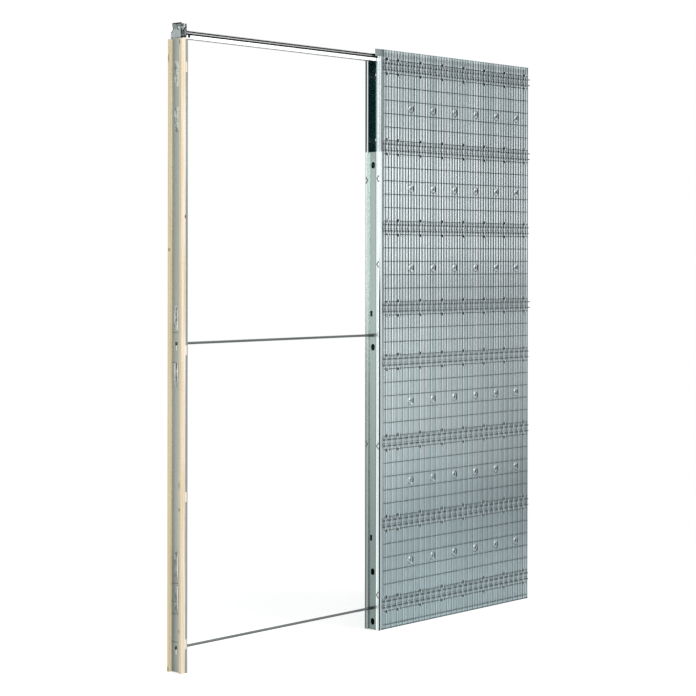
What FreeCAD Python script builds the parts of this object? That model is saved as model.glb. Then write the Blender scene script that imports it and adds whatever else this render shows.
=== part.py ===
import FreeCAD, Part
import math
import os

# Steel sub-frame of a pocket door, as it stands before the wall is plastered.
# X runs along the wall from the strike post to the back of the pocket, Y through the wall, Z up.
# The wall's front is at -Y. The origin is on the floor, in the middle of the frame.

# Overall sizes
frame_length = 1920.0
frame_depth = 70.0
opening_width = 966.0
pocket_height = 2160.0

# Clearances shared by pieces that fit into each other
fit_gap = 0.3
edge_gap = 1.0

# Strike post: a hat section of sheet steel with a pine batten in each outer corner
strike_length = 29.0
strike_sheet = 1.2
strike_web_recess = 10.0
strike_hat_width = 44.0
strike_lip = 8.0
strike_rise = 7.0
batten_drop = 47.0
batten_chamfer = 1.5
shoulder_width = 57.0
shoulder_height = 25.0
tongue_hole_radius = 6.5
tongue_hole_offset = -6.5
tongue_hole_drop = 18.0
tongue_notch_height = 11.0
tongue_notch_depth = 8.0
lip_notch_height = 34.0
lip_notch_levels = (96.0, 586.0, 1075.0)
lip_notch_top_drop = 149.0

# Wall anchors: straps cut out of the strike post's web and pressed outwards.
# The last of each kind keeps its drop from the post's top, the others their level above the floor.
strap_width = 15.0
strap_length = 88.0
strap_lift = 3.5
strap_root = 3.6
strap_bend_length = 18.0
strap_bend_lift = 2.2
strap_crest_length = 62.0
strap_end_lift = 2.6
strap_slit = 0.8
strap_levels_up = (196.0, 946.0)
strap_levels_down = (407.0, 1231.0)
strap_top_drop_up = 371.0
strap_top_drop_down = 123.0

# Head bracket that joins the track to the strike post
bracket_sheet = 1.2
bracket_reach = 36.5
bracket_lift = 1.0
bracket_drop = 3.0
bracket_corner = 6.0
bracket_hole_radius = 2.8
bracket_hole_place = 26.2
bracket_hole_drop = 10.0
bracket_notch_width = 4.2
bracket_notch_depth = 5.0
screw_hole_radius = 3.0
screw_hole_place = 22.0
screw_hole_drop = 31.0

# Track: an extruded channel with a slot along its underside
track_width = 38.0
track_drop = 44.0
track_height = 26.0
track_slot = 16.0
track_wall = 4.5
track_lip = 2.5
track_roof = 5.0
track_groove = 2.0
track_groove_bands = ((12.0, 16.0), (19.5, 23.0))

# Door stop: a rubber block on the track's front face
stop_start = 45.0
stop_length = 7.0
stop_thickness = 3.0
stop_height = 9.0
stop_lift = 2.5
stop_chamfer = 1.0

# Spacer bars: round bars flattened to a tongue at both ends
bar_diameter = 9.0
bar_sides = 12
middle_bar_level = 1096.0
lower_bar_level = 81.0
tongue_thickness = 3.0
tongue_height = 12.0
tongue_length = 14.0
tongue_taper = 22.0
tongue_passes = 4.0
hook_slot_drop = 16.0

# Mouth posts: folded sections either side of the gap that the door passes
mouth_gap = 40.0
mouth_sheet = 1.2
mouth_return = 22.0
mouth_flange = 15.0
mouth_groove_near = 27.5
mouth_groove_far = 32.0
mouth_groove_depth = 4.0
panel_flange = 33.0

# Closing channel in the mouth
closing_recess = 5.0
closing_chamfer_length = 3.0
closing_chamfer_width = 4.7
closing_leg = 17.0
closing_height = 1778.0
closing_sheet = 1.2
oval_width = 18.0
oval_height = 25.0
oval_levels = (30.0, 215.0, 1051.0, 1729.0)
window_width = 11.0
window_height = 21.0
window_offset = 8.0
window_levels = (341.0, 1176.0)

# Panels: sheets with round pressings, each a ring sunk into the sheet about a middle that stands nearly flush
panel_sheet = 0.7
panel_hem = 2.5
dimple_radius = 17.0
dimple_floor_outer = 12.5
dimple_floor_inner = 9.5
dimple_middle_radius = 5.0
dimple_depth = 3.0
dimple_middle_depth = 0.6
dimple_margin = 2.0
dimple_column_step = 131.4
dimple_first_column = 189.0

# Mesh in front of each panel: level wires and rods between an inner and an outer set of uprights.
# Bands of rods lie in the same rows up from the foot and down from the head.
rod_height = 4.0
rod_spacing = 23.0
rod_overhang = 9.0
upright_size = 2.4
inner_upright_size = 2.0
upright_step = 32.64
upright_start = 39.5
upright_low = 8.0
upright_drop = 10.0
cross_size = 2.0
row_step = 50.2
row_first = 15.9
band_first_row = 1
bands_per_half = 4
overhung_bands = (5, 7, 8)
mesh_margin = 4.0

# Hooks lanced out of the panels, which hold the level wires above and below each band.
# The first stands alone by the mouth, and the others keep one place between the uprights.
hook_width = 6.0
hook_rise = 4.0
hook_slit = 1.0
hook_slot_height = 9.0
hook_start = 50.0
hook_second = 114.6
uprights_per_hook = 4

# Back post, head channel and base channel of the pocket
pocket_sheet = 1.2
back_leg = 30.0
head_reach = 15.0
head_set_back = 63.0
head_leg = 27.0
base_leg = 25.0

# Hangers between the head channel and the track
hanger_sheet = 2.0
hanger_foot = 22.0
hanger_width = 30.0
hanger_margin = 110.0

# Places that follow from the sizes above
half_depth = frame_depth / 2
start_x = -(frame_length + rod_overhang) / 2
strike_height = pocket_height + strike_rise
batten_height = pocket_height - batten_drop
track_bottom = pocket_height - track_drop
bracket_low = track_bottom + bracket_lift
bracket_high = strike_height - bracket_drop
mouth_x = strike_length + opening_width
panel_face = half_depth - upright_size - cross_size - inner_upright_size
panel_back = panel_face - panel_sheet
panel_x = mouth_x + mouth_flange + edge_gap
head_low = pocket_height - head_leg
head_start = mouth_x + head_set_back
upright_back = half_depth - upright_size
upright_high = pocket_height - upright_drop
mesh_end = frame_length - mesh_margin
hook_step = upright_step * uprights_per_hook

# Counts that follow from the room there is
upright_count = 1 + int((mesh_end - upright_size - mouth_x - upright_start) // upright_step)
dimple_columns = 1 + int((mesh_end - dimple_radius - mouth_x - dimple_first_column) // dimple_column_step)
hook_columns = 1 + int((mesh_end - hook_width - mouth_x - hook_second) // hook_step)
row_count = 1 + int((upright_high - row_first) // row_step)
bay_rows = row_count // (2 * bands_per_half - 1)
lower_bands = [band_first_row + bay_rows * bay for bay in range(bands_per_half)]
band_rows = lower_bands + [row_count - 1 - row for row in reversed(lower_bands)]
dimple_rows = [low + bay_rows // 2 for low, high in zip(band_rows, band_rows[1:]) if high - low == bay_rows]


def vector(x, y, z):
    """Point from a distance along the wall, measured from the strike post's outer face."""
    return FreeCAD.Vector(start_x + x, y, z)


def strip(points, sheet):
    """Closed outline of a folded strip: its points, then the same folds set over to the right."""
    corners = [FreeCAD.Vector(a, b, 0) for a, b in points]
    normals = []
    for first, second in zip(corners, corners[1:]):
        run = (second - first).normalize()
        normals.append(FreeCAD.Vector(run.y, -run.x, 0))
    before = [normals[0]] + normals
    after = normals + [normals[-1]]
    moved = []
    for corner, left, right in zip(corners, before, after):
        moved.append(corner + (left + right) * (sheet / (1 + left.dot(right))))
    return points + [(corner.x, corner.y) for corner in reversed(moved)]


def prism(corners, run):
    """Solid swept from a closed polygon of corners along a vector."""
    return Part.Face(Part.makePolygon(corners + corners[:1])).extrude(run)


def upright(outline, low, high):
    """Section in plan, drawn as (x, y), carried up from low to high."""
    return prism([vector(x, y, low) for x, y in outline], FreeCAD.Vector(0, 0, high - low))


def lengthwise(outline, start, end):
    """Section across the wall, drawn as (y, z), carried along the wall from start to end."""
    return prism([vector(start, y, z) for y, z in outline], FreeCAD.Vector(end - start, 0, 0))


def crosswise(outline, width):
    """Section along the wall, drawn as (x, z), carried across the wall and centred on it."""
    return prism([vector(x, -width / 2, z) for x, z in outline], FreeCAD.Vector(0, width, 0))


def block(x_range, y_range, z_range):
    """Rectangular cutter between the given limits."""
    low = vector(x_range[0], y_range[0], z_range[0])
    sizes = [high - bottom for bottom, high in (x_range, y_range, z_range)]
    return Part.makeBox(*sizes, low)


def mirrored(shape):
    """The same piece on the other side of the wall."""
    return shape.mirror(FreeCAD.Vector(0, 0, 0), FreeCAD.Vector(0, 1, 0))


def hexagon(size):
    """Corners of a bar of six sides, with its flats facing the first direction of its section."""
    reach = size / math.sqrt(3)
    half = size / 2
    right = [(0, -reach), (half, -reach / 2), (half, reach / 2)]
    return right + [(-across, -along) for across, along in right]


def anchor_strap(fold_level, direction):
    """Strap that leaves the web at its fold line and rises outwards; direction is 1 upwards, -1 downwards."""
    inner = strike_web_recess + strike_sheet
    bends = [(0, -strap_root), (0, 0), (strap_bend_lift, strap_bend_length),
             (strap_lift, strap_crest_length), (strap_end_lift, strap_length)]
    path = [(inner - lift, fold_level + direction * along) for lift, along in bends]
    outward = -strike_sheet if direction > 0 else strike_sheet
    return crosswise(strip(path, outward), strap_width)


def strap_window(fold_level, direction):
    """Slit round a strap, open where the strap was pressed out of the web."""
    end = fold_level + direction * (strap_length + strap_slit)
    half = strap_width / 2 + strap_slit
    return block((strike_web_recess, strike_web_recess + strike_sheet), (-half, half),
                 (min(fold_level, end), max(fold_level, end)))


def hook_slot(x_range, level, drop):
    """Upright slot that takes a spacer bar's tongue, with room to lower it into place."""
    half = tongue_thickness / 2 + fit_gap
    low = level - tongue_height / 2 - drop
    return block(x_range, (-half, half), (low, level + tongue_height / 2 + fit_gap))


def tongue_hole():
    """Cutter for the bolt hole through the strike post's head and the bracket behind it."""
    place = vector(strike_web_recess, tongue_hole_offset, strike_height - tongue_hole_drop)
    depth = strike_sheet + bracket_sheet
    return Part.makeCylinder(tongue_hole_radius, depth, place, FreeCAD.Vector(1, 0, 0))


def strike_post():
    """Hat section with its lips notched, the bars' hook slots and the wall anchors."""
    inner = strike_hat_width / 2 - strike_sheet
    web = strike_web_recess + strike_sheet
    lip_start = strike_length - strike_lip
    path = [(lip_start, half_depth), (strike_length, half_depth), (strike_length, inner), (web, inner),
            (web, -inner), (strike_length, -inner), (strike_length, -half_depth), (lip_start, -half_depth)]
    post = upright(strip(path, strike_sheet), 0, batten_height)
    levels = (middle_bar_level, lower_bar_level)
    cuts = [hook_slot((strike_web_recess, web), level, hook_slot_drop) for level in levels]
    lip_skin = half_depth - strike_sheet
    for level in lip_notch_levels + (strike_height - lip_notch_top_drop,):
        for low, high in ((lip_skin, half_depth), (-half_depth, -lip_skin)):
            cuts.append(block((lip_start, strike_length - strike_sheet), (low, high),
                              (level - lip_notch_height / 2, level + lip_notch_height / 2)))
    folds = [(level, 1) for level in strap_levels_up + (strike_height - strap_top_drop_up,)]
    folds += [(level, -1) for level in strap_levels_down + (strike_height - strap_top_drop_down,)]
    cuts += [strap_window(level, direction) for level, direction in folds]
    straps = [anchor_strap(level, direction) for level, direction in folds]
    return post.cut(cuts).fuse(straps).removeSplitter()


def strike_head_plate():
    """Flat head that stands on the strike post's web, with its shoulders, bolt hole and side notch."""
    hat = strike_hat_width / 2
    web_range = (strike_web_recess, strike_web_recess + strike_sheet)
    shoulder = shoulder_width / 2
    shoulder_top = batten_height + shoulder_height
    rear = [(shoulder, batten_height), (shoulder, shoulder_top), (hat, shoulder_top), (hat, strike_height)]
    front = [(-y, z) for y, z in reversed(rear)]
    plate = lengthwise(rear + front, *web_range)
    notch_low = strike_height - tongue_hole_drop - tongue_notch_height / 2
    notch = block(web_range, (hat - tongue_notch_depth, hat), (notch_low, notch_low + tongue_notch_height))
    return plate.cut([tongue_hole(), notch])


def batten():
    """Pine batten of the rear side, held between the hat section, its flange and its lip."""
    low = strike_hat_width / 2
    high = half_depth - strike_sheet
    end = strike_length - strike_sheet
    ease = batten_chamfer
    outline = [(ease, low), (end, low), (end, high), (ease, high), (0, high - ease), (0, low + ease)]
    return upright(outline, 0, batten_height)


def head_bracket():
    """Folded bracket with its lower front corners rounded, a notch in its top edge and its holes."""
    inner = track_width / 2 + fit_gap
    outer = inner + bracket_sheet
    web = strike_web_recess + strike_sheet
    back = web + bracket_sheet
    path = [(bracket_reach, inner), (back, inner), (back, -inner), (bracket_reach, -inner)]
    bracket = upright(strip(path, bracket_sheet), bracket_low, bracket_high)
    across = FreeCAD.Vector(0, 1, 0)
    centre = vector(bracket_reach - bracket_corner, -outer, bracket_low + bracket_corner)
    corner = block((bracket_reach - bracket_corner, bracket_reach), (-outer, outer),
                   (bracket_low, bracket_low + bracket_corner))
    cuts = [corner.cut(Part.makeCylinder(bracket_corner, 2 * outer, centre, across)), tongue_hole()]
    notch_start = bracket_hole_place - bracket_notch_width / 2
    cuts.append(block((notch_start, notch_start + bracket_notch_width), (-outer, outer),
                      (bracket_high - bracket_notch_depth, bracket_high)))
    for radius, x, drop in ((bracket_hole_radius, bracket_hole_place, bracket_hole_drop),
                            (screw_hole_radius, screw_hole_place, screw_hole_drop)):
        cuts.append(Part.makeCylinder(radius, 2 * outer, vector(x, -outer, bracket_high - drop), across))
    return bracket.cut(cuts)


def top_track():
    """Channel open below between two running lips, with two grooves along each outer face."""
    half = track_width / 2
    slot = track_slot / 2
    inner = half - track_wall
    side = [(slot, 0), (half, 0)]
    for low, high in track_groove_bands:
        side += [(half, low), (half - track_groove, low), (half - track_groove, high), (half, high)]
    side.append((half, track_height))
    ceiling = track_height - track_roof
    room = [(inner, ceiling), (inner, track_lip), (slot, track_lip)]
    right = side
    left = [(-y, z) for y, z in reversed(side)]
    cavity = [(-slot, track_lip), (-inner, track_lip), (-inner, ceiling)] + room
    outline = [(y, track_bottom + z) for y, z in right + left + cavity]
    start = strike_web_recess + strike_sheet + bracket_sheet
    return lengthwise(outline, start, frame_length - pocket_sheet)


def track_stop():
    """Rubber block that stands on the track's front face, its outer edges eased."""
    face = -track_width / 2
    front = face - stop_thickness
    low = track_bottom + stop_lift
    ease = stop_chamfer
    outline = [(face, low), (face, low + stop_height), (front + ease, low + stop_height),
               (front, low + stop_height - ease), (front, low + ease), (front + ease, low)]
    return lengthwise(outline, stop_start, stop_start + stop_length)


def spacer_bar(level):
    """Round bar lofted at each end into a flat tongue that passes through a slot."""
    near = strike_web_recess - tongue_passes
    far = mouth_x + closing_recess + closing_sheet + tongue_passes
    radius = bar_diameter / 2
    flat = tongue_length + tongue_passes
    stations = [(near, 1), (near + flat, 1), (near + flat + tongue_taper, 0),
                (far - flat - tongue_taper, 0), (far - flat, 1), (far, 1)]
    sections = []
    for x, flattened in stations:
        across = tongue_thickness / 2 if flattened else radius
        tall = tongue_height / 2 if flattened else radius
        corners = []
        for side in range(bar_sides):
            turn = math.pi * (2 * side + 1) / bar_sides
            corners.append(vector(x, across * math.cos(turn), level + tall * math.sin(turn)))
        sections.append(Part.makePolygon(corners + corners[:1]))
    return Part.makeLoft(sections, True, True)


def mouth_post():
    """Post on the rear side of the mouth, folded from one strip with a groove down its outer face."""
    gap = mouth_gap / 2
    flange_x = mouth_x + mouth_flange
    floor_x = mouth_x + mouth_groove_depth
    path = [(mouth_x + mouth_return, gap), (mouth_x, gap), (mouth_x, mouth_groove_near),
            (floor_x, mouth_groove_near), (floor_x, mouth_groove_far), (mouth_x, mouth_groove_far),
            (mouth_x, half_depth), (flange_x, half_depth), (flange_x, panel_back),
            (flange_x + panel_flange, panel_back)]
    return upright(strip(path, mouth_sheet), 0, head_low)


def oval(x, level):
    """Upright oval cutter through the closing channel's web."""
    radius = oval_width / 2
    half = oval_height / 2 - radius
    along = FreeCAD.Vector(1, 0, 0)
    middle = block((x, x + closing_sheet), (-radius, radius), (level - half, level + half))
    centres = [vector(x, 0, level - half), vector(x, 0, level + half)]
    return middle.fuse([Part.makeCylinder(radius, closing_sheet, centre, along) for centre in centres])


def closing_channel():
    """Channel that holds the two mouth posts apart, with oval holes, windows and the bars' slots."""
    half = mouth_gap / 2 - fit_gap
    web = mouth_x + closing_recess
    side = web + closing_chamfer_length
    flat = half - closing_chamfer_width
    end = web + closing_leg
    path = [(end, -half), (side, -half), (web, -flat), (web, flat), (side, half), (end, half)]
    channel = upright(strip(path, closing_sheet), 0, closing_height)
    web_range = (web, web + closing_sheet)
    cuts = [oval(web, level) for level in oval_levels]
    for level in window_levels:
        cuts.append(block(web_range, (window_offset - window_width / 2, window_offset + window_width / 2),
                          (level - window_height / 2, level + window_height / 2)))
    cuts += [hook_slot(web_range, level, fit_gap) for level in (middle_bar_level, lower_bar_level)]
    return channel.cut(cuts)


def dimple(x, level):
    """Pressing of the rear panel, a sunken ring about a middle, turned about its own axis."""
    path = [(dimple_radius + dimple_margin, 0), (dimple_radius, 0), (dimple_floor_outer, -dimple_depth),
            (dimple_floor_inner, -dimple_depth), (dimple_middle_radius, -dimple_middle_depth),
            (0, -dimple_middle_depth)]
    corners = [vector(x + radius, panel_back + height, level) for radius, height in strip(path, panel_sheet)]
    face = Part.Face(Part.makePolygon(corners + corners[:1]))
    return face.revolve(vector(x, 0, level), FreeCAD.Vector(0, 1, 0), 360)


def row_level(row):
    return row_first + row_step * row


def middle_level(row):
    """Level half way from one row of wires to the next one up."""
    return row_level(row) + row_step / 2


def lanced_hooks():
    """Tabs bent out of the rear panel round the level wires next to each band, and the slots they leave."""
    hold = cross_size / math.sqrt(3) + fit_gap
    front = upright_back + fit_gap
    columns = [mouth_x + hook_start]
    columns += [mouth_x + hook_second + hook_step * column for column in range(hook_columns)]
    tabs = []
    slots = []
    for row in band_rows:
        for level, up in ((row_level(row + 1), 1), (row_level(row), -1)):
            root = level - up * hold
            end = root + up * hook_slot_height
            path = [(panel_back, root), (front, root), (front, root + up * hook_rise)]
            outline = strip(path, up * panel_sheet)
            for x in columns:
                tabs.append(lengthwise(outline, x - hook_width / 2, x + hook_width / 2))
                half = hook_width / 2 + hook_slit
                slots.append(block((x - half, x + half), (panel_back, panel_face),
                                   (min(root, end), max(root, end))))
    return tabs, slots


def panel():
    """Rear panel: a sheet hemmed outwards at top and bottom, with pressed dimples and lanced hooks."""
    path = [(panel_face + panel_hem, 0), (panel_back, 0), (panel_back, pocket_height),
            (panel_face + panel_hem, pocket_height)]
    sheet = lengthwise(strip(path, panel_sheet), panel_x, frame_length)
    blanks = []
    dishes = []
    through = FreeCAD.Vector(0, 1, 0)
    for row in dimple_rows:
        level = middle_level(row)
        for column in range(dimple_columns):
            x = mouth_x + dimple_first_column + dimple_column_step * column
            place = vector(x, panel_back, level)
            blanks.append(Part.makeCylinder(dimple_radius + dimple_margin, panel_sheet, place, through))
            dishes.append(dimple(x, level))
    tabs, slots = lanced_hooks()
    return sheet.cut(blanks + slots).fuse(dishes + tabs).removeSplitter()


def open_corner(sheet):
    """The rear panel with its upper corner at the mouth cut away, level with the mouth post's top."""
    return sheet.cut(block((panel_x, head_start), (panel_back, half_depth), (head_low, pocket_height)))


def mesh_uprights(size, back, start):
    """One set of upright wires of the rear mesh, given its back and the place of its first wire."""
    centre = back + size / 2
    wires = []
    for index in range(upright_count):
        x = mouth_x + start + upright_step * index
        outline = [(x + across, centre + deep) for deep, across in hexagon(size)]
        wires.append(upright(outline, upright_low, upright_high))
    return Part.makeCompound(wires)


def outer_uprights():
    return mesh_uprights(upright_size, upright_back, upright_start)


def inner_uprights():
    """Wires that lie on the panel, half a step on from the outer ones."""
    return mesh_uprights(inner_upright_size, panel_face, upright_start + upright_step / 2)


def mesh_cross_wires():
    """Level wires of the rear mesh, welded between the two sets of uprights."""
    centre = upright_back - cross_size / 2
    wires = []
    for row in range(row_count):
        outline = [(centre + deep, row_level(row) + tall) for deep, tall in hexagon(cross_size)]
        wires.append(lengthwise(outline, panel_x + mesh_margin, mesh_end))
    return Part.makeCompound(wires)


def band_rods(row, end):
    """Pair of flattened stiffening rods of the rear mesh, between one row of wires and the next."""
    centre = upright_back - cross_size / 2
    middle = middle_level(row)
    stretch = rod_height / cross_size
    rods = []
    for level in (middle - rod_spacing / 2, middle + rod_spacing / 2):
        outline = [(centre + deep, level + stretch * tall) for deep, tall in hexagon(cross_size)]
        rods.append(lengthwise(outline, panel_x + edge_gap, end))
    return Part.makeCompound(rods)


def back_post():
    leg = frame_length - back_leg
    path = [(leg, panel_back), (frame_length, panel_back), (frame_length, -panel_back), (leg, -panel_back)]
    return upright(strip(path, pocket_sheet), 0, track_bottom)


def head_channel():
    """Channel turned downwards between the two panels, its front side reaching ahead over the mouth post."""
    path = [(-panel_back, head_low), (-panel_back, pocket_height),
            (panel_back, pocket_height), (panel_back, head_low)]
    channel = lengthwise(strip(path, pocket_sheet), head_start, frame_length)
    front = block((mouth_x - head_reach, head_start), (-panel_back, pocket_sheet - panel_back),
                  (head_low, pocket_height))
    return channel.fuse(front).removeSplitter()


def base_channel():
    path = [(panel_back, base_leg), (panel_back, 0), (-panel_back, 0), (-panel_back, base_leg)]
    start = mouth_x + mouth_flange + panel_flange
    return lengthwise(strip(path, pocket_sheet), start, frame_length - back_leg)


def track_hangers():
    """Straps folded in a Z, each between the head channel's underside and the track's top."""
    low = track_bottom + track_height
    high = pocket_height - pocket_sheet - hanger_sheet
    hangers = []
    first = mouth_x + hanger_margin
    last = frame_length - hanger_margin
    for x in (first, (first + last) / 2, last):
        path = [(x - hanger_foot, low), (x, low), (x, high), (x + hanger_foot, high)]
        hangers.append(crosswise(strip(path, -hanger_sheet), hanger_width))
    return Part.makeCompound(hangers)


pieces = {
    "strike_post": strike_post(),
    "strike_head_plate": strike_head_plate(),
    "strike_batten_front": mirrored(batten()),
    "strike_batten_rear": batten(),
    "strike_head_bracket": head_bracket(),
    "top_track": top_track(),
    "track_stop": track_stop(),
    "track_hangers": track_hangers(),
    "spacer_bar_middle": spacer_bar(middle_bar_level),
    "spacer_bar_lower": spacer_bar(lower_bar_level),
    "mouth_post_front": mirrored(mouth_post()),
    "mouth_post_rear": mouth_post(),
    "closing_channel": closing_channel(),
    "back_post": back_post(),
    "head_channel": head_channel(),
    "base_channel": base_channel(),
    "panel_front": mirrored(panel()),
    "panel_rear": open_corner(panel()),
    "mesh_uprights_front": mirrored(outer_uprights()),
    "mesh_uprights_rear": outer_uprights(),
    "mesh_inner_uprights_front": mirrored(inner_uprights()),
    "mesh_inner_uprights_rear": inner_uprights(),
    "mesh_cross_wires_front": mirrored(mesh_cross_wires()),
    "mesh_cross_wires_rear": mesh_cross_wires(),
}
for number, row in enumerate(band_rows, 1):
    rod_end = frame_length + rod_overhang if number in overhung_bands else frame_length
    pieces[f"band_rods_front_{number}"] = mirrored(band_rods(row, rod_end))
    pieces[f"band_rods_rear_{number}"] = band_rods(row, rod_end)

os.makedirs("parts", exist_ok=True)
for name, shape in pieces.items():
    shape.exportStep(f"parts/{name}.step")
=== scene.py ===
import math
import bpy
import numpy as np
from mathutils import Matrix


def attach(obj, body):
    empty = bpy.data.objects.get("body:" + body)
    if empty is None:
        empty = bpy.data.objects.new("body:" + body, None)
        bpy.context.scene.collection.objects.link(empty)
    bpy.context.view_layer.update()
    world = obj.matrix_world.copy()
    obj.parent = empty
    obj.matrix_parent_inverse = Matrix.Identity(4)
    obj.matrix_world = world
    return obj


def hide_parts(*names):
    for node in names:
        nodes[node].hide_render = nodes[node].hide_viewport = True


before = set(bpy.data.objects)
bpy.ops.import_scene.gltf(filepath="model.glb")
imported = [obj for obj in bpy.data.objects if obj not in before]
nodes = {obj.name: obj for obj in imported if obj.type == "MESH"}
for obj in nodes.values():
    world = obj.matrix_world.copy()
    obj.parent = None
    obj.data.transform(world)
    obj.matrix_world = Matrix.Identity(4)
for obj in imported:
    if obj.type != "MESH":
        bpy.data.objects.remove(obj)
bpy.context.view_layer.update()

# Carcass of the pocket: back post, base channel and head channel.
# Galvanised sheet about 1.2 mm thick, folded to channels that close the pocket between the two panels.


class Tone:
    """A socket in a material's tree. Arithmetic on it adds Math nodes, and make() adds any other node."""

    def __init__(self, tree, socket):
        self.tree = tree
        self.socket = socket

    def make(self, kind, settings, sockets, out=0):
        """New node of a kind: its settings first, then the value or the link of each socket."""
        node = self.tree.nodes.new(kind)
        for name, value in settings.items():
            if name == "stops":
                ramp = node.color_ramp
                while len(ramp.elements) < len(value):
                    ramp.elements.new(1.0)
                for element, (place, colour) in zip(ramp.elements, value):
                    element.position = place
                    element.color = (*colour, 1.0)
            else:
                setattr(node, name, value)
        for place, value in sockets.items():
            if isinstance(value, Tone):
                self.tree.links.new(value.socket, node.inputs[place])
            else:
                node.inputs[place].default_value = value
        return Tone(self.tree, node.outputs[out])

    def reckon(self, operation, first, second=0.0, clamp=False):
        """Math node on one or two values."""
        settings = {"operation": operation, "use_clamp": clamp}
        return self.make("ShaderNodeMath", settings, {0: first, 1: second})

    def __add__(self, other):
        return self.reckon("ADD", self, other)

    def __radd__(self, other):
        return self.reckon("ADD", other, self)

    def __sub__(self, other):
        return self.reckon("SUBTRACT", self, other)

    def __rsub__(self, other):
        return self.reckon("SUBTRACT", other, self)

    def __mul__(self, other):
        return self.reckon("MULTIPLY", self, other)

    def __rmul__(self, other):
        return self.reckon("MULTIPLY", other, self)

    def __truediv__(self, other):
        return self.reckon("DIVIDE", self, other)

    def __rtruediv__(self, other):
        return self.reckon("DIVIDE", other, self)

    def clip(self):
        """This value, held between 0 and 1."""
        return self.reckon("ADD", self, 0.0, True)

    def axis(self, letter):
        """One coordinate of a place, in metres, or of a direction."""
        return self.make("ShaderNodeSeparateXYZ", {}, {0: self}, "XYZ".index(letter))

    def ramp(self, first, last):
        """Smooth step: 0 up to the first value and 1 from the last on, whichever of them is greater."""
        settings = {"interpolation_type": "SMOOTHSTEP"}
        return self.make("ShaderNodeMapRange", settings, {0: self, 1: first, 2: last})

    def between(self, low, high, soft):
        """1 from low to high, falling off over a soft edge on both sides."""
        return self.ramp(low - soft, low + soft) * self.ramp(high + soft, high - soft)

    def grain(self, stretch, detail=3.0, rough=0.55):
        """Noise from 0 to 1 on a place that is first scaled along each axis."""
        spread = self.make("ShaderNodeMapping", {}, {"Vector": self, "Scale": stretch})
        sockets = {"Vector": spread, "Scale": 1.0, "Detail": detail, "Roughness": rough}
        return self.make("ShaderNodeTexNoise", {}, sockets)

    def blend(self, low, high):
        """Colour that goes from low to high with this value."""
        return self.make("ShaderNodeMix", {"data_type": "RGBA"}, {0: self, 6: low, 7: high}, 2)

    def relief(self, strength, distance):
        """Direction of a surface that this value raises by up to a distance in metres."""
        sockets = {"Strength": strength, "Distance": distance, "Height": self}
        return self.make("ShaderNodeBump", {}, sockets)


def rgb(red, green, blue):
    """Linear colour from the three bytes of a screen colour."""
    screen = np.array([red, green, blue]) / 255
    linear = np.where(screen <= 0.04045, screen / 12.92, ((screen + 0.055) / 1.055) ** 2.4)
    return (*linear.tolist(), 1.0)


def blank(name):
    """Material with an empty shader, and the place on the piece in metres."""
    material = bpy.data.materials.new(name)
    material.use_nodes = True
    tree = material.node_tree
    tree.nodes.clear()
    output = tree.nodes.new("ShaderNodeOutputMaterial")
    shader = tree.nodes.new("ShaderNodeBsdfPrincipled")
    tree.links.new(shader.outputs[0], output.inputs[0])
    return material, shader, Tone(tree, tree.nodes.new("ShaderNodeTexCoord").outputs["Object"])


def feed(shader, sockets):
    """Links tones to a shader's sockets by name."""
    for name, tone in sockets.items():
        tone.tree.links.new(tone.socket, shader.inputs[name])


crystals_per_metre = 320.0


def zinc(name, dark, light, rough, shade, spread=0.3, streak=(24, 24, 0.8)):
    """Galvanised sheet: a tone by place, clouds drawn out by rolling, fine crystal flakes and scratches.
    The colour goes from dark to light with the tone, and spread says how strong the clouds are."""
    material, shader, place = blank(name)
    cloud = place.grain(streak)
    sockets = {"Vector": place, "Scale": crystals_per_metre}
    crystals = place.make("ShaderNodeTexVoronoi", {}, sockets, "Color")
    flake = place.make("ShaderNodeSeparateColor", {}, {0: crystals})
    scratch = place.grain((60, 60, 900), 2.0)
    tone = shade(place) + (cloud - 0.5) * (2 * spread) + (flake - 0.5) * 0.04 + (scratch - 0.5) * 0.08
    feed(shader, {"Base Color": tone.clip().blend(dark, light),
                  "Roughness": (cloud * 0.14 + flake * 0.06 + (rough - 0.1)).clip(),
                  "Normal": (flake * 0.1 + scratch * 0.3 + cloud).relief(0.06, 0.0005)})
    shader.inputs["Metallic"].default_value = 1.0
    return material


def dress(material, *names):
    """Puts one material on whole CAD nodes."""
    for name in names:
        mesh = nodes[name].data
        mesh.materials.clear()
        mesh.materials.append(material)


def carcass_shade(place):
    """Even, a little darker towards the floor."""
    return place.axis("Z").ramp(0.0, 2.0) * 0.15 + 0.4


carcass_zinc = zinc("carcass_zinc", rgb(120, 132, 132), rgb(182, 192, 190), 0.38, carcass_shade)
dress(carcass_zinc, "back_post", "base_channel")


def head_channel_shade(place):
    """Dull and with stains, being handled most."""
    return place.grain((60, 60, 60), rough=0.65) * 0.7 + 0.1


head_channel_zinc = zinc("head_channel_zinc", rgb(78, 86, 86), rgb(156, 166, 164), 0.4,
                         head_channel_shade, 0.1)
dress(head_channel_zinc, "head_channel")

# Mouth posts: each folded from one strip, with a groove down its face and a flange towards the plaster.
# Bright new zinc, with painted shade darkening it towards the floor and a painted shadow in the seam by the
# panel.
# Small bent clinch marks are pressed into the faces with a punch, to hold the folds together.


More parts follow.
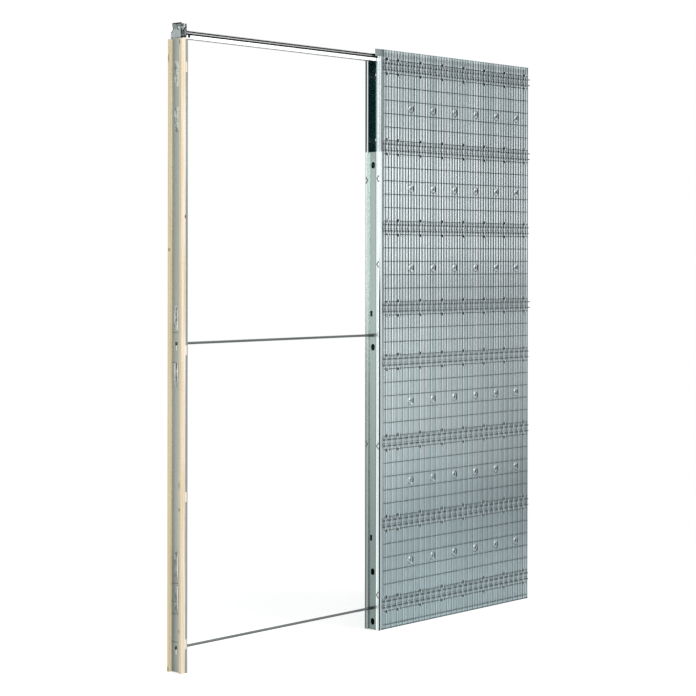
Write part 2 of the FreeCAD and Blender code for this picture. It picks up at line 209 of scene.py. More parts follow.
def mouth_shade(place):
    """Bright faces, darker towards the floor with painted shade, with a painted shadow down the front corner
    and the seam by the panel, and painted shade at the inner edge and on the inner walls. Over the closing
    channel, where the pocket is open, each face is striped with painted light and shade by its folds."""
    along, depth, height = place.axis("X"), place.axis("Y"), place.axis("Z")
    over = height.ramp(1.776, 1.782)
    # Darker towards the floor: painted shade for the darker reflection low down.
    low = height.ramp(1.3, 0.8)
    foot = height.ramp(0.8, 0.1)
    # Painted shadow of the gap at the front corner, strongest low down.
    gap_shadow_low = height.ramp(1.45, 1.2)
    # Over the closing channel: painted light on one fold of the front post, painted shade on the rest.
    bright_fold = depth.between(-0.030, -0.0245, 0.0006)
    corner_gap_shadow = depth.ramp(-0.0336, -0.0342) * gap_shadow_low
    # Painted shade at the inner edge of the front face.
    inner_edge = depth.ramp(-0.0232, -0.0222)
    front_face = (1.0 - low * 0.02 - over * (0.45 - bright_fold * 0.45) - corner_gap_shadow * 0.6
                  - inner_edge * (low * 0.25 + 0.1))
    # Rear post over the closing channel: painted light on its fold strips, painted shade elsewhere.
    rear_stripes = (depth.between(0.0224, 0.0262, 0.0005) + depth.between(0.0262, 0.0302, 0.0005) * 0.6
                    + depth.ramp(0.0302, 0.031) * 0.1 + depth.ramp(0.0212, 0.0208) * 0.5)
    rear_face = (0.72 - low * 0.26 - foot * 0.1) * (1 - over) + rear_stripes * over
    front = depth.ramp(-0.001, -0.002)
    face = front * front_face + (1 - front) * rear_face
    # Painted shadow in the seam by the panel, and painted shade at the flange's back edge.
    seam = along.ramp(0.038, 0.0372) * (gap_shadow_low + over * 0.2)
    tail = along.ramp(0.039, 0.0405) * ((1 - low) * 0.1 + over * 0.5)
    flange_face = (0.9 - low * 0.38 - foot * 0.08 - over * 0.1) * (1 - seam) - tail
    flange = depth.ramp(-0.0342, -0.0347)
    # Painted shade on the inner walls.
    inner = along.ramp(0.033, 0.036) * depth.between(-0.0338, 0.0338, 0.0003)
    return face * (1 - flange) + flange_face * flange - inner * (front + over) * 0.3


mouth_zinc = zinc("mouth_zinc", rgb(24, 35, 36), rgb(245, 254, 253), 0.3, mouth_shade, 0.05)
dress(mouth_zinc, "mouth_post_front", "mouth_post_rear")


def new_piece(name, points, faces, material):
    """Object at the origin from an array of points and groups of faces, with one material."""
    corners = sum((group.reshape(-1, group.shape[-1]).tolist() for group in faces), [])
    mesh = bpy.data.meshes.new(name)
    mesh.from_pydata(points.reshape(-1, 3).tolist(), [], corners)
    mesh.materials.append(material)
    piece = bpy.data.objects.new(name, mesh)
    bpy.context.collection.objects.link(piece)
    return piece


def chevrons(name, centres, reach, tall, half, proud, material):
    """Pressed marks: a flat band bent in the middle, carried from one arm's end over the point to the other.
    The middle line runs inwards by reach * (1 - |t|) and up by tall / 2 * t, for t from -1 to 1.
    Its section is a low roof, half wide on each side and proud in the middle."""
    t = np.array([[-1.0], [0.0], [1.0]])
    centre_x, centre_y, centre_z = centres.T[:, :, None, None]
    y = centre_y - np.sign(centre_y) * reach * (1 - np.abs(t)) + np.array([-half, 0.0, half])
    z = centre_z + (tall / 2) * t + 0 * y
    x = centre_x - np.array([0.0, proud, 0.0]) + 0 * y
    index = np.arange(y.size).reshape(y.shape)
    slopes = np.stack([index[:, :-1, :-1], index[:, 1:, :-1], index[:, 1:, 1:], index[:, :-1, 1:]], -1)
    backs = np.stack([index[:, :-1, 0], index[:, :-1, 2], index[:, 1:, 2], index[:, 1:, 0]], -1)
    ends = np.concatenate([index[:, 0], index[:, -1, ::-1]])
    return new_piece(name, np.stack([x, y, z], -1), [slopes, backs, ends], material)


def facing(place, letter):
    """One coordinate of the direction in which the surface faces."""
    return place.make("ShaderNodeNewGeometry", {}, {}, "Normal").axis(letter)


def clinch_shade(place):
    """Painted light and shade: dark on one slope, bright on the other, by the way each slope faces."""
    return facing(place, "Y").ramp(-0.1, 0.1)


mouth_face, clinch_depth = 0.0305, 0.0322
clinch_reach, clinch_tall, clinch_half, clinch_proud = 0.0095, 0.024, 0.0026, 0.0008
clinch_centres = np.array([(mouth_face, -clinch_depth, z) for z in (1.678, 1.36, 0.685, 0.132)]
                          + [(mouth_face, clinch_depth, z) for z in (1.673, 0.69)])
# Clinch marks: painted shade on one slope and a painted highlight on the other.
clinch_zinc = zinc("clinch_zinc", rgb(14, 20, 20), rgb(150, 160, 160), 0.35, clinch_shade)
clinch = chevrons("clinch_marks", clinch_centres, clinch_reach, clinch_tall, clinch_half, clinch_proud,
                  clinch_zinc)
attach(clinch, "root")

# Closing channel: a strip of sheet folded to a shallow trough that holds the mouth posts apart.
# Galvanised, punched with oval holes and two small windows, and darker towards the floor.


def closing_shade(place):
    """Pale above, dull below, with painted light on the rear bevel and painted shade at the front edge by the
    post, speckled at the top end.
    """
    depth, height = place.axis("Y"), place.axis("Z")
    low = height.ramp(1.25, 0.1)
    # Painted light on the rear bevel, and painted shade at the front edge by the post.
    bevel = depth.ramp(0.0145, 0.016)
    front_edge = depth.ramp(-0.0115, -0.013)
    speckle = place.grain((420, 420, 420), 2.0).ramp(0.5, 0.62) * height.ramp(1.735, 1.76)
    return 0.39 - low * 0.32 + bevel * (0.6 - low * 0.1) - front_edge * 0.25 - speckle * 0.32


closing_zinc = zinc("closing_zinc", rgb(112, 128, 124), rgb(236, 250, 244), 0.36, closing_shade, 0.07)
dress(closing_zinc, "closing_channel")

# Panels: large flat sheets with rows of round pressings and rows of hooks lanced out of them.
# Thin bright sheet, rolled along its height, hemmed at the head and the foot, never cleaned inside.

panel_face, panel_tall = 0.0286, 2.16
band_middles = (0.0912, 0.3924, 0.6936, 0.9948, 1.1956, 1.4968, 1.798, 2.0992)
first_upright, upright_step = 0.070, 0.03264
dimple_first_x, dimple_step_x, dimple_step_z = 0.2195, 0.1314, 0.3012
dimple_first_z, dimple_second_z, dimple_part_z = 0.2418, 1.3462, 1.095
hook_first_x, hook_second_x, hook_step_x = 0.0805, 0.1451, 0.13056
hook_near, hook_far = 0.0186, 0.0316
# Painted light up each panel: share of the height and tone.
panel_tones = ((0.0, 0.53), (0.13, 0.49), (0.21, 0.54), (0.28, 0.64), (0.5, 0.77),
               (0.59, 0.74), (0.66, 0.91), (0.8, 0.84), (0.89, 0.6), (1.0, 0.47))


def stride(value, first, step):
    """Share of the way from one mark to the next, where marks start at first and follow a step apart."""
    return value.reckon("FRACT", (value - first) / step)


def nearest(value, first, step):
    """Distance from the nearest of marks that start at first and follow a step apart."""
    return value.reckon("FRACT", (value - first) / step + 0.5) * step - step / 2


def pressing_light_and_shade(along, height):
    """Painted light and shade on each pressing: a painted highlight on one side, painted shade on the other
    side and in its sunken middle. Gives both marks, and a third that covers the whole pressing."""
    high_rows = height.reckon("GREATER_THAN", height, dimple_part_z)
    across = nearest(along, dimple_first_x, dimple_step_x)
    tall = nearest(height, high_rows * (dimple_second_z - dimple_first_z) + dimple_first_z, dimple_step_z)
    reach = height.reckon("SQRT", across * across + tall * tall)
    lean = (tall * 0.6 - across * 0.8) / (reach + 0.0001)
    pressed = along.ramp(0.15, 0.16)
    pressing_highlight = (reach.between(0.0095, 0.0165, 0.001) * lean.ramp(0.3, 0.8)
                + reach.between(0.006, 0.0105, 0.001) * lean.ramp(-0.2, -0.7))
    pressing_shade = reach.between(0.012, 0.0172, 0.001) * lean.ramp(0.2, -0.6) + reach.ramp(0.0062, 0.005) * 1.5
    return pressing_highlight * pressed, pressing_shade * pressed, reach.ramp(0.019, 0.018) * pressed


def hook_light_and_shade(along, height):
    """Painted shade on the sheet on one side of each hook and a painted highlight on the other.
    Gives both marks, and the distance along the panel from the nearest hook."""
    past_first = along.reckon("GREATER_THAN", along, (hook_first_x + hook_second_x) / 2)
    beside = (past_first * nearest(along, hook_second_x, hook_step_x)
              + (1 - past_first) * (along - hook_first_x))
    rows = sum(height.between(middle - hook_far, middle - hook_near, 0.001)
               + height.between(middle + hook_near, middle + hook_far, 0.001) for middle in band_middles)
    hook_shadow = beside.between(-0.010, 0.001, 0.001) + beside.between(0.0125, 0.017, 0.001)
    hook_highlight = beside.between(0.004, 0.0115, 0.001) + beside.between(-0.016, -0.011, 0.001) * 0.6
    return hook_shadow * rows, hook_highlight * rows, beside


def rod_shadows(height):
    """Dull strip behind the two rods of each band, and in it the second line that each rod shows."""
    shadows = 0
    for middle in band_middles:
        strength = 0.38 if middle > dimple_part_z else 0.25
        strip = height.between(middle - 0.019, middle + 0.0195, 0.003) * strength
        low_line = height.between(middle - 0.0043, middle - 0.0017, 0.001)
        high_line = height.between(middle + 0.0187, middle + 0.0213, 0.001)
        shadows = shadows + (strip + (low_line + high_line) * 0.5)
    return shadows


def panel_skin():
    """Bright zinc in faint upright bands, with painted light that is palest at two thirds of the height and
    painted shade that darkens it towards the back edge, and dull and lined behind the rods with painted
    shadow. Painted shadows of the uprights lie in lines by them, and painted highlights in other lines between
    them. Both are stronger in the upper half, and low down towards the back edge. The inside of the pocket is
    dull."""
    material, shader, place = blank("panel_zinc")
    along, depth, height = place.axis("X"), place.axis("Y"), place.axis("Z")
    bands = place.grain((30, 1, 0.1), 2.0)
    cloud = place.grain((4, 4, 1.2), 2.0)
    rolled = place.grain((300, 300, 3), 2.0)
    upper = height.ramp(0.65, 1.5)
    rear = along.ramp(0.4, 0.95) * (1 - upper)
    stops = [(share, (tone,) * 3) for share, tone in panel_tones]
    # Painted light up the height, and painted shade falling towards the back edge.
    rise = place.make("ShaderNodeValToRGB", {"stops": stops}, {0: height / panel_tall})
    fall = (along.ramp(-0.2, 1.0) * height.between(0.3, 1.83, 0.2) * 0.21
            + along.ramp(0.55, 0.95) * (1 - upper) * 0.05)
    level = rise.axis("X") - fall + (bands - 0.5) * (upper * 0.3 + 0.2) + (cloud - 0.5) * 0.14
    # Darker along the edges: painted shade by the mouth post's flange, and darker at the back edge, the head
    # and the foot.
    margin = (along.ramp(0.0665, 0.064) * (upper * 0.3 + 0.25) + along.ramp(0.9475, 0.9485) * 0.5
              + height.ramp(2.128, 2.14) * 0.25 + height.ramp(0.006, 0.004) * 0.6)
    pressing_highlight, pressing_shade, pressing = pressing_light_and_shade(along, height)
    hook_shadow, hook_highlight, beside = hook_light_and_shade(along, height)
    # The sheet, with painted shade from the pressings and the hooks.
    sheet = (level + (rolled - 0.5) * 0.1).clip() * (1 - margin) * (1 - pressing_shade * 0.6) * (1 - hook_shadow * 0.55)
    step = stride(along, first_upright, upright_step)
    lined = upper * (1 - height.ramp(1.8, 2.0) * 0.4)
    # Painted shadows of the uprights on the sheet, and painted highlights in lines between them.
    wire_shadow_lines = (step.between(0.04, 0.17, 0.03) * (lined * 0.44 + rear * 0.3 + 0.38)
            + step.between(0.57, 0.71, 0.03) * (lined * 0.78 + rear * 0.2))
    wire_highlight_lines = (step.between(0.28, 0.46, 0.03) * (lined * 0.55 + rear * 0.3 + 0.45)
              + step.between(0.77, 0.92, 0.03) * (lined * 0.85 + rear * 0.2 + 0.1))
    shadows = rod_shadows(height)
    # The sheet with painted shadow, and brightened for the painted highlights.
    shadowed_sheet = sheet * (1 - shadows) * (1 - wire_shadow_lines)
    highlit_sheet = (sheet * (1 - shadows * 0.4) * 1.3).clip()
    # White of the painted highlights.
    highlight_white = rgb(250, 255, 255)
    high_tint = bands.ramp(0.4, 0.6).blend(rgb(220, 240, 240), rgb(228, 239, 243))
    tint = height.ramp(0.75, 0.25).blend(high_tint, rgb(216, 239, 244))
    lines = wire_highlight_lines.blend(shadowed_sheet.blend(rgb(40, 54, 58), tint), highlit_sheet.blend(rgb(70, 84, 88), highlight_white))
    # Painted highlights of the pressings and the hooks.
    skin = (pressing_highlight * 0.9 + hook_highlight * 0.75).clip().blend(lines, highlight_white)
    off_sheet = place.reckon("ABSOLUTE", depth).ramp(panel_face + 0.0003, panel_face + 0.0006)
    hooks = off_sheet * height.between(0.01, 2.15, 0.001)
    # Hook tabs: painted shade on one side, painted highlight on the other.
    tab_light_and_shade = beside.ramp(0.0, 0.0015).blend(rgb(14, 18, 19), rgb(200, 212, 212))
    inside = place.reckon("LESS_THAN", facing(place, "Y") * depth, -0.004) * (1 - hooks)
    finish = bands * 0.08 + rolled * 0.05 + inside * 0.2 + 0.4 - pressing * 0.22
    feed(shader, {"Base Color": inside.blend(hooks.blend(skin, tab_light_and_shade), rgb(140, 218, 220)),
                  "Roughness": finish.clip(),
                  "Metallic": (1 - inside * 0.85 - hooks * 0.9).clip(),
                  "Normal": (rolled * 0.15 + cloud).relief(0.05, 0.0006)})
    return material


dress(panel_skin(), "panel_front", "panel_rear")

# Plaster mesh: an outer and an inner set of upright wires, with level wires welded between them.
# Drawn wire, galvanised. The outer uprights are pinched in a little between the rods of each band.

wire_sides = 12


def middle_lines(x, y, z):
    """Points of the wires' middle lines: three coordinates spread over one grid, wire by wire."""
    return np.stack(np.broadcast_arrays(x, y, z), -1)


def drawn_wires(name, middles, across, up, radii, material, node):
    """Round wires, ring after ring along each: a point is middle + across * a * cos(t) + up * b * sin(t),
    where a and b are the two radii and t goes once round."""
    turn = np.linspace(0, 2 * np.pi, wire_sides, endpoint=False)
    ring = np.outer(np.cos(turn) * radii[0], across) + np.outer(np.sin(turn) * radii[1], up)
    points = middles[:, :, None, :] + ring
    index = np.arange(points[..., 0].size).reshape(points.shape[:3])
    after = np.roll(index, -1, axis=2)
    walls = np.stack([index[:, :-1], after[:, :-1], after[:, 1:], index[:, 1:]], -1).reshape(-1, 4)
    ends = np.concatenate([index[:, 0, ::-1], index[:, -1]])
    piece = new_piece(name, points, [walls, ends], material)
    piece.data.polygons.foreach_set("use_smooth", np.arange(len(walls) + len(ends)) < len(walls))
    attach(piece, "root")
    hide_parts(node)


def wire(name, low, high, level, band_sheen=None, upright_sheen=None):
    """Drawn wire: dull zinc that goes from low to high up the mesh, mottled along its length; in this script
    the high colour is the darker one, a painted shade on the upper half. Where a band colour is given, the
    lower part of the wire is painted to it in each band, a painted highlight where it crosses the rods. Where
    a sheen colour is given, the wire has painted highlights of it beside each upright."""
    material, shader, place = blank(name)
    height = place.axis("Z")
    risen = height.ramp(*level)
    mottle = place.grain((90, 90, 90))
    colour = (risen + (mottle - 0.5) * 0.5).clip().blend(low, high)
    if band_sheen is not None:
        lower = height.ramp(level[1], level[0])
        for middle in band_middles:
            colour = (height.between(middle - 0.021, middle + 0.021, 0.003) * lower).blend(colour, band_sheen)
    if upright_sheen is not None:
        step = stride(place.axis("X"), first_upright, upright_step)
        sheen_columns = step.between(0.18, 0.36, 0.02) + step.between(0.67, 0.82, 0.02) * risen
        colour = (sheen_columns * (risen * 0.4 + 0.45)).blend(colour, upright_sheen)
    feed(shader, {"Base Color": colour,
                  "Roughness": mottle * 0.2 + 0.4,
                  "Normal": mottle.relief(0.1, 0.0003)})
    shader.inputs["Specular IOR Level"].default_value = 0.2
    return material


# All wire colours darken up the mesh, a painted shade; the outer uprights also get painted highlights in the
# bands.
outer_zinc = wire("outer_wire_zinc", rgb(140, 151, 153), rgb(30, 38, 41), (0.6, 1.5), rgb(196, 207, 209))
inner_zinc = wire("inner_wire_zinc", rgb(192, 203, 205), rgb(140, 152, 155), (0.65, 1.5))
level_zinc = wire("level_wire_zinc", rgb(84, 96, 98), rgb(62, 72, 75), (0.65, 1.5))
outer_depth, level_depth, inner_depth = 0.0338, 0.0316, 0.0296
outer_radius, inner_radius, level_radius = 0.0012, 0.001, 0.001
mesh_low, mesh_high, upright_count = 0.008, 2.150, 27
outer_x = first_upright + upright_step * np.arange(upright_count)
inner_x = outer_x + upright_step / 2
pinch, pinch_reach = 0.0022, np.array([-0.009, -0.0045, 0.0045, 0.009])
pinch_z = (np.array(band_middles)[:, None] + pinch_reach).ravel()
upright_z = np.concatenate([[mesh_low], pinch_z, [mesh_high]])
upright_in = np.concatenate([[0.0], np.tile([0.0, pinch, pinch, 0.0], len(band_middles)), [0.0]])
level_start, level_end = 0.0645, 0.9515
row_first, row_step, row_count = 0.0159, 0.0502, 43
row_z = row_first + row_step * np.arange(row_count)
along_x, along_y, along_z = np.eye(3)
mesh_sides = (("front", -1), ("rear", 1))
for side, sign in mesh_sides:
    outer = middle_lines(outer_x[:, None], sign * (outer_depth - upright_in), upright_z)
    drawn_wires(f"outer_uprights_{side}", outer, along_x, along_y, (outer_radius, outer_radius), outer_zinc,
                f"mesh_uprights_{side}")
    inner = middle_lines(inner_x[:, None], sign * inner_depth, [mesh_low, mesh_high])
    drawn_wires(f"inner_uprights_{side}", inner, along_x, along_y, (inner_radius, inner_radius), inner_zinc,
                f"mesh_inner_uprights_{side}")
    rows = middle_lines([level_start, level_end], sign * level_depth, row_z[:, None])
    drawn_wires(f"level_wires_{side}", rows, along_y, along_z, (level_radius, level_radius), level_zinc,
                f"mesh_cross_wires_{side}")

# Stiffening rods: eight pairs in each mesh, between the same two sets of uprights as the level wires.
# Flattened steel wire with a thin dull coat. Three of the pairs stick out past the panel's back edge.

# Rods: painted shade darkening them up the mesh, and painted highlights beside each upright.
rod_steel = wire("rod_steel", rgb(84, 95, 97), rgb(40, 48, 50), (0.9, 1.4), upright_sheen=rgb(206, 217, 219))
rod_start, rod_short, rod_long = 0.0615, 0.9555, 0.9645
rod_half_gap, rod_radii, long_pairs = 0.0115, (0.001, 0.0021), (5, 7, 8)
for side, sign in mesh_sides:
    for number, middle in enumerate(band_middles, 1):
        rod_end = rod_long if number in long_pairs else rod_short
        rod_z = middle + np.array([[-rod_half_gap], [rod_half_gap]])
        rods = middle_lines([rod_start, rod_end], sign * level_depth, rod_z)
        drawn_wires(f"stiffening_rods_{side}_{number}", rods, along_y, along_z, rod_radii, rod_steel,
                    f"band_rods_{side}_{number}")

# Strike post: a hat section of sheet with straps pressed out of its web, and a flat head above it.
# Galvanised and a little stained, scored across where straps may be bent, crumpled on the straps.
# A bracket folded from the same sheet is fixed to the head and takes the track's end.

score_heights, score_half = (1.133, 1.033, 0.296, 0.236, 0.195, 0.101), 0.001


def strike_shade(place):
    """Dull web, lighter to the front, duller at the foot, with scored lines, crumpled straps and dark lips."""
    along, depth, height = place.axis("X"), place.axis("Y"), place.axis("Z")
    web = along.ramp(-0.9525, -0.9535) * height.ramp(2.114, 2.112)
    # Lighter at the rear edge by the batten: painted light against the shade of the recess.
    across = depth.ramp(0.02, -0.02) * 0.3 + depth.ramp(0.012, 0.02) * 0.35 - 0.05
    foot = height.ramp(0.45, 0.3)
    strap = along.ramp(-0.9549, -0.9556)
    crumple = place.grain((70, 70, 45), 2.0, 0.7)
    bent = height.ramp(0.37, 0.40)
    scores = sum(height.between(score - score_half, score + score_half, 0.0008) for score in score_heights)
    lips = along.ramp(-0.944, -0.9435)
    head = height.ramp(2.113, 2.12)
    return (0.5 + web * (across - foot * 0.2) + strap * ((crumple - 0.5) * (bent * 3 + 1) - (1 - bent) * 0.12)
            - scores * web * 0.5 - lips * (height.ramp(1.7, 2.1) * 0.2 + 0.1) - head * 0.1)


strike_zinc = zinc("strike_zinc", rgb(94, 101, 97), rgb(194, 204, 198), 0.36, strike_shade, 0.2)
dress(strike_zinc, "strike_post")


def head_shade(place):
    """Stained all over, paler in the lower half, dark at the rims, at the front edge and along the foot."""
    depth, height = place.axis("Y"), place.axis("Z")
    stain = place.grain((110, 110, 110), rough=0.7)
    front = depth.ramp(-0.0188, -0.0198)
    rims = (depth.ramp(0.0165, 0.0195) * height.between(2.136, 2.152, 0.002)
            + height.ramp(2.1615, 2.1635) * 0.7)
    pale = height.ramp(2.149, 2.143) * (1 - front)
    foot = height.between(2.115, 2.1205, 0.001)
    return 0.55 + pale * 0.4 + (stain - 0.5) * 2.2 - rims * 0.9 - front * 0.45 - foot * 0.3


head_zinc = zinc("head_zinc", rgb(34, 40, 41), rgb(178, 187, 187), 0.4, head_shade, 0.15)
dress(head_zinc, "strike_head_plate", "strike_head_bracket")

# Bracket screw: a pan head that clamps the bracket to the track's end.
# Zinc plated steel; its cross recess is not cut but painted as a dark cross of shade.

screw_centre, screw_radius, screw_proud = (-0.9425, -0.0205, 2.133), 0.0048, 0.0022
dome_rings, dome_sides, cross_half = 6, 20, 0.0006


def pan_screw(name, centre, radius, proud, material):
    """Dome turned about the -Y axis, closed by a flat back.
    It goes out by radius * s and stands proud * (1 - s**3) high, for s from 0 to 1."""
    s = np.linspace(0, 1, dome_rings + 1)[1:, None]
    turn = np.linspace(0, 2 * np.pi, dome_sides, endpoint=False)
    x = centre[0] + radius * s * np.cos(turn)
    z = centre[2] + radius * s * np.sin(turn)
    y = centre[1] - proud * (1 - s ** 3) + 0 * x
    crown = np.array([[centre[0], centre[1] - proud, centre[2]]])
    points = np.concatenate([np.stack([x, y, z], -1).reshape(-1, 3), crown])
    index = np.arange(x.size).reshape(x.shape)
    after = np.roll(index, -1, axis=1)
    walls = np.stack([index[1:], after[1:], after[:-1], index[:-1]], -1)
    cap = np.stack([index[0], after[0], np.full(dome_sides, x.size)], -1)
    return new_piece(name, points, [walls, cap, index[-1:]], material)


def screw_shade(place):
    """A dark cross of painted shade for the recess, in the middle of a bright head."""
    across = place.axis("X") - screw_centre[0]
    tall = place.axis("Z") - screw_centre[2]
    cross = across.between(-cross_half, cross_half, 0.0002) + tall.between(-cross_half, cross_half, 0.0002)
    return 0.4 - cross * 0.4


screw_zinc = zinc("screw_zinc", rgb(26, 30, 30), rgb(140, 148, 148), 0.35, screw_shade)
bracket_screw = pan_screw("bracket_screw", screw_centre, screw_radius, screw_proud, screw_zinc)
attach(bracket_screw, "root")

# Battens: planed pine strips set in the outer corners of the strike post.
# Plain sawn, so that the growth rings run as long lines up the faces, with a few knots.

knot_width, knot_stretch = 0.007, 1.6
ring_rate, ring_sway, knot_bend = 1150.0, 26.0, 9.0


def pine(name, pale, ring, edge, pith, knots, heart):
    """Pine: growth rings about a pith line, bent by slow noise and by knots, with fine fibres up its height.
    The wide faces go from the pale colour to the ring's, the narrow outer one between the edge colours, which
    are darker:
    partly the wood's own tone, partly a painted shade on that side."""
    material, shader, place = blank(name)
    along, depth, height = place.axis("X"), place.axis("Y"), place.axis("Z")
    away_x, away_y = along - pith[0], depth - pith[1]
    radius = place.reckon("SQRT", away_x * away_x + away_y * away_y)
    knot = 0.0
    for x, y, z, size in knots:
        over, deep = (along - x) / knot_width, (depth - y) / knot_width
        tall = (height - z) / (size * knot_stretch)
        spot = 1 / (1 + (over * over + deep * deep + tall * tall) * 2.2)
        knot = place.reckon("MAXIMUM", knot, spot)
    sway = place.grain((3, 3, 0.7), 2.0)
    late = place.reckon("SINE", radius * ring_rate + sway * ring_sway + knot * knot_bend).ramp(0.0, 1.0)
    fibre = place.grain((700, 700, 9), 2.0)
    broad = place.grain((170, 170, 4.0), 2.0)
    planed = (late * 0.35 + fibre * 0.25 + (broad - 0.5) * 2.2 + 0.1).clip().blend(pale, ring)
    # Narrow outer face: its own darker tone and a painted shade on that side.
    outer_face_tone_and_shade = (late * 0.4 + broad * 0.9 - 0.15).clip().blend(*edge)
    clear = along.ramp(-0.9612, -0.9640).blend(planed, outer_face_tone_and_shade)
    feed(shader, {"Base Color": knot.ramp(0.3, 0.85).blend(clear, heart),
                  "Roughness": fibre * 0.15 + 0.52,
                  "Normal": (fibre + late * 0.4).relief(0.25, 0.0004)})
    return material


front_knots = ((-0.9645, -0.0225, 0.625, 0.012), (-0.9645, -0.024, 0.545, 0.006),
               (-0.9645, -0.0235, 2.1, 0.008), (-0.9645, -0.023, 0.14, 0.007), (-0.945, -0.0338, 1.52, 0.006))
rear_knots = ((-0.9645, 0.031, 2.05, 0.014), (-0.9645, 0.029, 0.008, 0.009), (-0.9645, 0.026, 1.41, 0.006))
front_pith, rear_pith = (-0.90, -0.075), (-0.93, 0.085)
front_pine = pine("pine_front", rgb(247, 237, 223), rgb(216, 190, 150),
                  (rgb(238, 224, 188), rgb(204, 176, 128)), front_pith, front_knots, rgb(136, 92, 52))
rear_pine = pine("pine_rear", rgb(250, 232, 208), rgb(236, 202, 168),
                 (rgb(228, 224, 180), rgb(216, 190, 148)), rear_pith, rear_knots, rgb(150, 140, 74))
dress(front_pine, "strike_batten_front")
dress(rear_pine, "strike_batten_rear")

# Track: an extruded channel that carries the door, with grooves along its sides.
# Mill finish aluminium, hung on galvanised straps inside the pocket.
# A block of black rubber on its front face, near the strike post, stops the door.


def track_metal():
    """Aluminium drawn along its length: bright on the lower flat, dull above the lower groove, with painted
    shade in both grooves, dark in the lower one.
    """
    material, shader, place = blank("track_aluminium")
    height = place.axis("Z")
    draw = place.grain((1.5, 300, 300), 2.0)
    # Painted shade in the two grooves.
    lower_groove = height.between(2.1268, 2.1322, 0.0003)
    upper_groove = height.between(2.1356, 2.1398, 0.0003)
    head = height.ramp(2.1316, 2.1324)
    tone = (draw * 0.12 + 0.85 - lower_groove * 1.2 - head * 0.6 - upper_groove * 0.35).clip()
    feed(shader, {"Base Color": tone.blend(rgb(16, 18, 18), rgb(250, 251, 251)),
                  "Roughness": draw * 0.15 + 0.3,
                  "Normal": draw.relief(0.08, 0.0003)})
    shader.inputs["Metallic"].default_value = 1.0
    return material


dress(track_metal(), "top_track")
dress(carcass_zinc, "track_hangers")


def rubber():
    """Black rubber with a fine moulded grain."""
    material, shader, place = blank("stop_rubber")
    pores = place.grain((2400, 2400, 2400), 2.0)
    feed(shader, {"Base Color": pores.blend(rgb(14, 15, 15), rgb(38, 40, 40)),
                  "Roughness": pores * 0.2 + 0.55,
                  "Normal": pores.relief(0.2, 0.0003)})
    return material


dress(rubber(), "track_stop")

# Spacer bars: round bars that keep the doorway to width until the jambs are set.
# Galvanised, pressed flat at the ends and hooked into slots.


def bar_shade(place):
    """Dull zinc, darker where the flat ends were pressed."""
    along = place.axis("X")
    ends = along.ramp(-0.925, -0.94) + along.ramp(0.005, 0.02)
    return 0.4 - ends * 0.15


bar_zinc = zinc("bar_zinc", rgb(44, 48, 48), rgb(140, 146, 146), 0.32, bar_shade, 0.12, (4, 60, 60))
dress(bar_zinc, "spacer_bar_middle", "spacer_bar_lower")

# Studio: a pale floor that keeps the shadow, soft light and a camera at the photograph's angle.
# Two square lamps stand in front, one to the right and one to the left, above head height.

white, ambient = (1, 1, 1, 1), 0.55


def seen_rays(tree):
    """1 for what the camera sees, straight, mirrored or through glass, 0 for light that falls on surfaces."""
    path = tree.nodes.new("ShaderNodeLightPath")
    names = ("Is Camera Ray", "Is Glossy Ray", "Is Transmission Ray")
    first, second, third = [Tone(tree, path.outputs[name]) for name in names]
    return (first + second + third).clip()


world = bpy.data.worlds.new("studio")
world.use_nodes = True
world.node_tree.nodes.clear()
seen = seen_rays(world.node_tree)
sky = seen.make("ShaderNodeBackground", {}, {"Color": white, "Strength": seen * (1 - ambient) + ambient})
sky_output = world.node_tree.nodes.new("ShaderNodeOutputWorld")
world.node_tree.links.new(sky.socket, sky_output.inputs["Surface"])
bpy.context.scene.world = world

floor_half, floor_drop = 40.0, -0.0005
floor_grey, floor_lift = (0.86, 0.86, 0.86, 1), 0.5
fade_start, fade_end = 1.2, 3.2


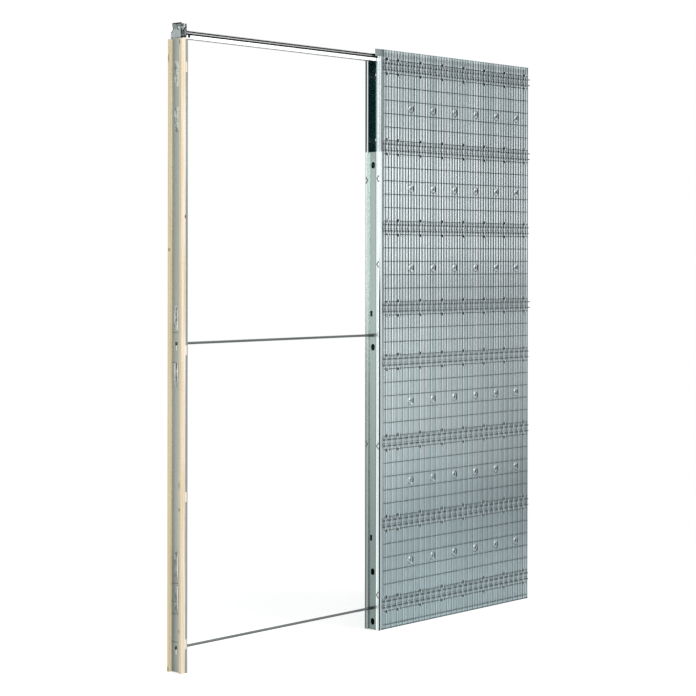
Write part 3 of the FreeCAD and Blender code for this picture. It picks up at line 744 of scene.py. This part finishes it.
def floor_paint():
    """Pale paint that keeps a shadow near the object and fades to plain white away from it."""
    material = bpy.data.materials.new("floor_paint")
    material.use_nodes = True
    tree = material.node_tree
    tree.nodes.clear()
    seen = seen_rays(tree)
    place = Tone(tree, tree.nodes.new("ShaderNodeTexCoord").outputs["Object"])
    away = place.make("ShaderNodeVectorMath", {"operation": "LENGTH"}, {0: place}, "Value")
    paint = seen.make("ShaderNodeBsdfDiffuse", {}, {"Color": floor_grey})
    lift = seen.make("ShaderNodeEmission", {}, {"Color": white, "Strength": seen * floor_lift})
    near = seen.make("ShaderNodeAddShader", {}, {0: paint, 1: lift})
    far = seen.make("ShaderNodeEmission", {}, {"Color": white, "Strength": 1.0})
    both = seen.make("ShaderNodeMixShader", {}, {0: seen * away.ramp(fade_start, fade_end), 1: near, 2: far})
    output = tree.nodes.new("ShaderNodeOutputMaterial")
    tree.links.new(both.socket, output.inputs["Surface"])
    return material


corners = np.array([(-1, -1), (1, -1), (1, 1), (-1, 1)]) * floor_half
floor_points = np.column_stack([corners, np.full(len(corners), floor_drop)])
floor = new_piece("studio_floor", floor_points, [np.array([[0, 1, 2, 3]])], floor_paint())


def softbox(name, place, aim, side, power):
    """Square area lamp that looks from its place at a point."""
    lamp = bpy.data.lights.new(name, "AREA")
    lamp.shape = "SQUARE"
    lamp.size = side
    lamp.energy = power
    holder = bpy.data.objects.new(name, lamp)
    bpy.context.collection.objects.link(holder)
    run = np.array(aim) - np.array(place)
    turn = math.atan2(run[1], run[0]) - math.pi / 2
    dip = math.atan2(run[2], math.hypot(run[0], run[1]))
    holder.location = place
    holder.rotation_euler = (math.pi / 2 + dip, 0, turn)


lamp_side = 4.0
softbox("key_lamp", (2.5, -5.0, 4.5), (0.0, 0.0, 1.1), lamp_side, 150.0)
softbox("side_lamp", (-6.5, -4.5, 3.0), (-0.5, 0.0, 1.1), lamp_side, 200.0)

camera = bpy.data.cameras.new("photo_camera")
camera.sensor_width = 36.0
camera.lens = 97.47
camera.shift_y = -0.1262
camera.clip_end = 200.0
viewer = bpy.data.objects.new("photo_camera", camera)
bpy.context.collection.objects.link(viewer)
viewer.location = (-5.2234, -4.6495, 1.3753)
viewer.rotation_euler = (math.radians(90), math.radians(-0.076), math.radians(-47.758))
bpy.context.scene.camera = viewer
bpy.context.scene.view_settings.view_transform = "Standard"
